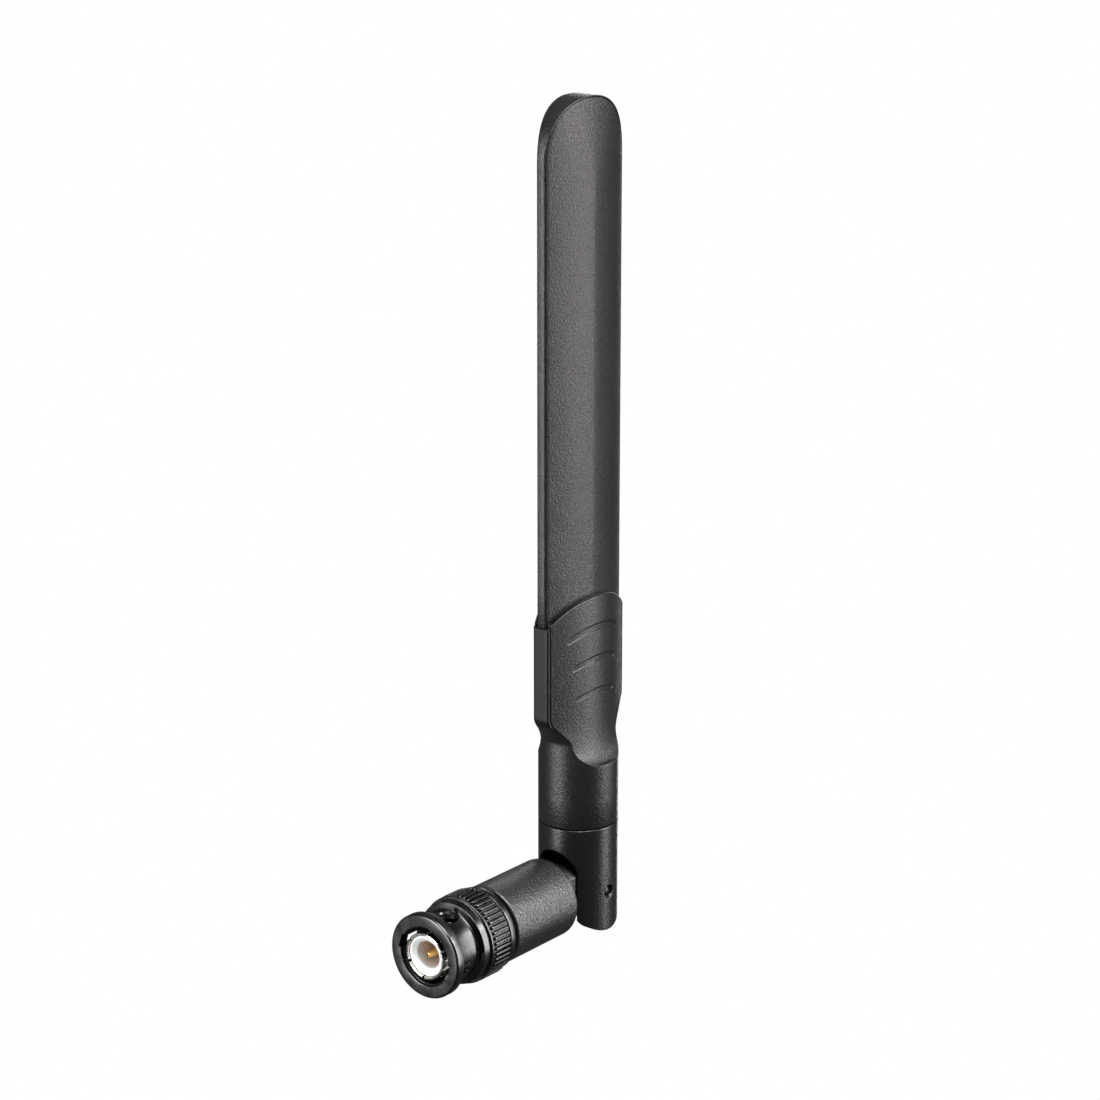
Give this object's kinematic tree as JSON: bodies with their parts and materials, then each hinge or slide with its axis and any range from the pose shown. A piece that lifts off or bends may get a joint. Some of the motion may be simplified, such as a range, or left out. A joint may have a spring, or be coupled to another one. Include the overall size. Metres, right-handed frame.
{
  "type": "paddle antenna with bayonet plug",
  "caption": "Flat ridged paddle antenna on a tilting, swivelling knuckle with a bayonet coaxial plug; black plastic grip with thumb pads and finger grooves.",
  "frame": {"origin": "on the plug's axis, at the plug's mating front", "axes": "the plug mates towards -Y; the paddle stands along +Z at rest, bent square to the plug; its broad faces look along +X and -X"},
  "size_m": [0.0156, 0.052, 0.1479],
  "materials": {
    "shell": "moulded nylon with a fine spark-eroded texture, charcoal black",
    "knuckle": "moulded plastic, satin, charcoal black",
    "black_metal": "black plated brass, glossy",
    "contact": "nickel plated spring bronze",
    "gold": "gold plated, polished",
    "ptfe": "white fluoropolymer, smooth",
    "rubber": "black rubber, matt",
    "steel": "stainless steel, plain",
    "board": "glass-filled epoxy board, green",
    "copper": "bare copper foil",
    "solder": "solder, semi-bright",
    "foam": "closed cell foam, grey",
    "jacket": "translucent brown fluoropolymer jacket"
  },
  "bodies": {
    "connector": {"connector_body": "black_metal", "outer_contact": "contact", "insulator": "ptfe", "center_pin": "gold", "sealing_gasket": "rubber", "crimp_ferrule": "steel", "swivel_o_ring": "rubber", "swivel_clip": "steel", "wave_washer": "steel"},
    "nut_carrier": {"thrust_washer": "steel"},
    "nut": {"coupling_nut": "black_metal", "nut_retaining_ring": "steel"},
    "knuckle": {"swivel_barrel": "knuckle", "friction_washer_left": "steel", "friction_washer_right": "steel"},
    "blade": {"pivot_pin_left": "steel", "pivot_pin_right": "steel", "hinge_fork": "knuckle", "grip_sleeve": "shell", "blade_cover": "shell", "blade_tray": "shell", "antenna_board": "board", "radiator_upper": "copper", "radiator_lower_left": "copper", "radiator_lower_right": "copper", "center_solder": "solder", "braid_solder": "solder", "foam_strip": "foam", "coax_cable": "jacket", "shrink_sleeve": "rubber"}
  },
  "joints": [
    {"name": "nut_push", "type": "slide", "parent": "connector", "child": "nut_carrier", "axis": [0, -1, 0], "range_m": [0, 0.0006], "stiffness_N_per_m": 3000, "deforming": ["wave_washer"]},
    {"name": "nut_turn", "type": "hinge", "parent": "nut_carrier", "child": "nut", "pos_m": [0, 0, 0], "axis": [0, -1, 0], "continuous": true},
    {"name": "swivel", "type": "hinge", "parent": "connector", "child": "knuckle", "pos_m": [0, 0.0415, 0], "axis": [0, -1, 0], "range_deg": [-180, 180]},
    {"name": "tilt", "type": "hinge", "parent": "knuckle", "child": "blade", "pos_m": [0, 0.0415, 0], "axis": [-1, 0, 0], "range_deg": [0, 90], "deforming": ["coax_cable"]}
  ]
}
